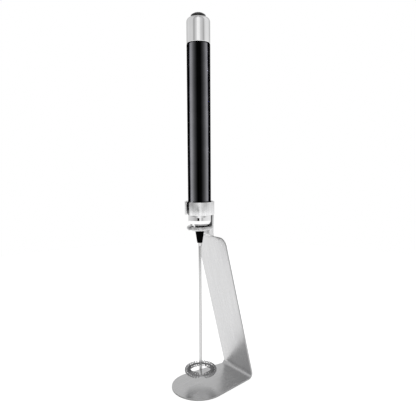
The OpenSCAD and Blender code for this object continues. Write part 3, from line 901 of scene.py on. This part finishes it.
def makeCoil():
    low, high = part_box("whisk_hoop")
    height = (low.z + high.z) / 2
    perTurn = whisk["perTurn"]
    count = whisk["turns"] * perTurn
    wide = whisk["coilOutside"] - whisk["coilWire"]
    tight = whisk["hoopWire"] + whisk["coilWire"]
    travel = math.radians(360 - whisk["gap"])
    start = math.radians(whisk["spoke"] + whisk["gap"] / 2)
    centres = []
    for i in range(count + 1):
        along = start + travel * i / count
        nearEnd = min(i, count - i) / (perTurn * whisk["closing"])
        size = tight + (wide - tight) * min(1, nearEnd) ** 0.6
        turn = 2 * math.pi * i / perTurn
        reach = whisk["hoop"] + size * math.cos(turn)
        centres.append(Vector((reach * math.cos(along), reach * math.sin(along),
                               height + size * math.sin(turn))))
    newPiece("whisk_coil_wire", sweepWire("coilWire", centres, whisk["coilWire"], 8), whiskSteelShaded,
             "spindle", "whisk_wire", "whisk_coil")


makeShaft()
makeHoop()
makeCoil()
print("shaft and whisk ready")


studio = {
    "floor": (0.93, 0.93, 0.93),
    "floorRadius": 0.55,
    "floorGlow": 0.6,
    "stripPower": 195.0,        # of the two strips that only the barrel sees
    "stripFar": 0.6,
    "stripWide": 1.3,
    "stripTall": 1.2,
    "glow": (1.3, 1.3, 1.3),    # colour of the bright card
    "cameraSide": -37.3,        # degrees from +X to the camera, seen from above
}
bands = {                       # degrees above level, from where each change starts to where it ends
    "highFrom": (-2.6, -2.4),   # the low part of the studio gives way to the high part
    "cardFrom": (-2, 0),
    "cardTo": (7.9, 9.3),
    "glowFrom": (9.1, 9.5),
    "glowTo": (11, 11.6),
    "dimFrom": (48, 64),
}
# brightness of the studio round the frother, by degrees to the right of the camera
studioHigh = [(-180, 0.76), (-140, 0.6), (-113, 0.76), (-97, 0.72), (-71, 0.7), (-58, 0.74),
              (-48, 0.46), (-37, 0.46), (-26, 0.66), (-15, 0.8), (-9, 1.05), (11, 0.98), (20, 0.72),
              (41, 0.58), (51, 0.4), (62, 0.68), (74, 0.84), (101, 0.86), (120, 0.78), (142, 0.5),
              (180, 0.76)]
studioLow = [(-180, 0.85), (-110, 0.75), (-75, 0.66), (-45, 0.5), (-24, 0.42), (-23, 0.95), (-22, 0.0),
             (-3, 0.0), (-2, 0.95), (16, 0.9), (20, 0.5), (30, 0.5), (36, 0.75), (60, 0.85),
             (110, 0.95), (180, 0.8)]
# how strongly the dark card on the left, and the bright card over it, show
cardSide = [(-150, 0.0), (-135, 0.78), (-60, 0.78), (-42, 0.0)]


def makeFloor():
    points = [(0, 0, 0)]
    count = 96
    for k in range(count):
        a = 2 * math.pi * k / count
        points.append((studio["floorRadius"] * math.cos(a), studio["floorRadius"] * math.sin(a), 0))
    faces = [(0, 1 + k, 1 + (k + 1) % count) for k in range(count)]
    floor = bpy.data.objects.new("studioFloor", meshFrom("studioFloor", points, faces))
    bpy.context.scene.collection.objects.link(floor)
    floor.location.z = -0.00002
    material, tree, shader = newMaterial("floorPaper", Roughness=0.9)
    where = tree.nodes.new("ShaderNodeTexCoord")
    shade = noiseNode(tree, where.outputs["Object"], 40, 3)
    tree.links.new(mixColours(tree, shade, studio["floor"], tuple(c * 0.99 for c in studio["floor"])),
                   shader.inputs["Base Color"])
    shader.inputs["Emission Color"].default_value = (1, 1, 1, 1)
    shader.inputs["Emission Strength"].default_value = studio["floorGlow"]
    floor.data.materials.append(material)


def softLight(name, spot, target, size, power):
    data = bpy.data.lights.new(name, "AREA")
    data.shape = "RECTANGLE"
    data.size, data.size_y = size
    data.energy = power
    light = bpy.data.objects.new(name, data)
    bpy.context.scene.collection.objects.link(light)
    light.location = spot
    light.rotation_euler = (Vector(target) - Vector(spot)).to_track_quat("-Z", "Y").to_euler()
    return light


def stripLight(name, middle, brightness, receivers):    # brightness by degrees to the right of the camera
    around = math.radians(studio["cameraSide"] + middle)
    far, wide, tall = studio["stripFar"], studio["stripWide"], studio["stripTall"]
    spot = (far * math.cos(around), far * math.sin(around), 0.2)
    light = softLight(name, spot, (0, 0, 0.2), (wide, tall), studio["stripPower"] * math.pi * wide * tall)
    light.data.use_nodes = True
    tree = light.data.node_tree
    glow = next(node for node in tree.nodes if node.type == "EMISSION")
    where = tree.nodes.new("ShaderNodeNewGeometry")
    split = tree.nodes.new("ShaderNodeSeparateXYZ")
    tree.links.new(where.outputs["Parametric"], split.inputs[0])
    ramp = tree.nodes.new("ShaderNodeValToRGB")
    stops = [(0.5 + math.tan(math.radians(degrees - middle)) * far / wide, value)
             for degrees, value in brightness]
    fillRamp(ramp, stops)
    tree.links.new(split.outputs[0], ramp.inputs[0])
    tree.links.new(ramp.outputs[0], glow.inputs["Strength"])
    light.light_linking.receiver_collection = receivers


def fillRamp(ramp, stops):
    points = ramp.color_ramp.elements
    while len(points) < len(stops):
        points.new(0.5)
    for point, (place, value) in zip(points, stops):
        point.position = place
        point.color = (value, value, value, 1)


def heightBand(tree, height, band, low, high):
    start, end = (math.radians(degrees) for degrees in bands[band])
    return rangeNode(tree, height, start, end, low, high)


def makeWorld():
    world = bpy.data.worlds.new("studioAir")
    bpy.context.scene.world = world
    world.use_nodes = True
    tree = world.node_tree
    output = next(node for node in tree.nodes if node.type == "OUTPUT_WORLD")
    surround = tree.nodes["Background"]
    where = tree.nodes.new("ShaderNodeTexCoord")
    side = math.radians(studio["cameraSide"])
    parts = []
    for axis in ((-math.sin(side), math.cos(side), 0), (math.cos(side), math.sin(side), 0)):
        dot = tree.nodes.new("ShaderNodeVectorMath")
        dot.operation = "DOT_PRODUCT"
        tree.links.new(where.outputs["Generated"], dot.inputs[0])
        dot.inputs[1].default_value = axis
        parts.append(dot.outputs["Value"])
    around = rangeNode(tree, mathNode(tree, "ARCTAN2", *parts), -math.pi, math.pi, 0.0, 1.0)
    split = tree.nodes.new("ShaderNodeSeparateXYZ")
    tree.links.new(where.outputs["Generated"], split.inputs[0])
    height = mathNode(tree, "ARCSINE", split.outputs[2])
    levels = []
    for stops in (studioLow, studioHigh, cardSide):
        ramp = tree.nodes.new("ShaderNodeValToRGB")
        fillRamp(ramp, [((degrees + 180) / 360, value) for degrees, value in stops])
        tree.links.new(around, ramp.inputs[0])
        levels.append(ramp.outputs[0])
    low, high, cards = levels
    raised = heightBand(tree, height, "highFrom", 0.0, 1.0)
    glowing = mathNode(tree, "MULTIPLY", heightBand(tree, height, "glowFrom", 0.0, 1.0),
                       heightBand(tree, height, "glowTo", 1.0, 0.0))
    shading = mathNode(tree, "MULTIPLY", heightBand(tree, height, "cardFrom", 0.0, 1.0),
                       heightBand(tree, height, "cardTo", 1.0, 0.0))
    light = mixColours(tree, raised, low, high)
    light = mixColours(tree, mathNode(tree, "MULTIPLY", cards, shading), light, (0, 0, 0))
    light = mixColours(tree, mathNode(tree, "MULTIPLY", cards, glowing), light, studio["glow"])
    light = mixColours(tree, heightBand(tree, height, "dimFrom", 0.0, 0.25), light, (0, 0, 0))
    tree.links.new(light, surround.inputs["Color"])
    backdrop = tree.nodes.new("ShaderNodeBackground")
    backdrop.inputs["Color"].default_value = (1, 1, 1, 1)
    seen = tree.nodes.new("ShaderNodeLightPath")
    choose = tree.nodes.new("ShaderNodeMixShader")
    tree.links.new(seen.outputs["Is Camera Ray"], choose.inputs[0])
    tree.links.new(surround.outputs[0], choose.inputs[1])
    tree.links.new(backdrop.outputs[0], choose.inputs[2])
    tree.links.new(choose.outputs[0], output.inputs["Surface"])


makeFloor()
makeWorld()
stripTargets = bpy.data.collections.new("stripTargets")
stripTargets.objects.link(bpy.data.objects["barrel_tube"])
# brightness across each strip, by degrees to the right of the camera
leftGlow = [(-108, 0.62), (-103, 0.85), (-90, 0.95), (-76, 0.74), (-65, 0.56), (-55, 0.32), (-43, 0.16),
            (-32, 0.07), (-23, 0.02), (-16, 0.0)]
rightGlow = [(19, 0.0), (25, 0.02), (36, 0.065), (47, 0.14), (57, 0.26), (68, 0.44), (81, 0.68), (95, 0.95),
             (104, 1.0), (108, 0.6)]
stripLight("leftStrip", -62, leftGlow, stripTargets)
stripLight("rightStrip", 63, rightGlow, stripTargets)
bpy.context.scene.view_settings.view_transform = "Standard"
print("studio ready")
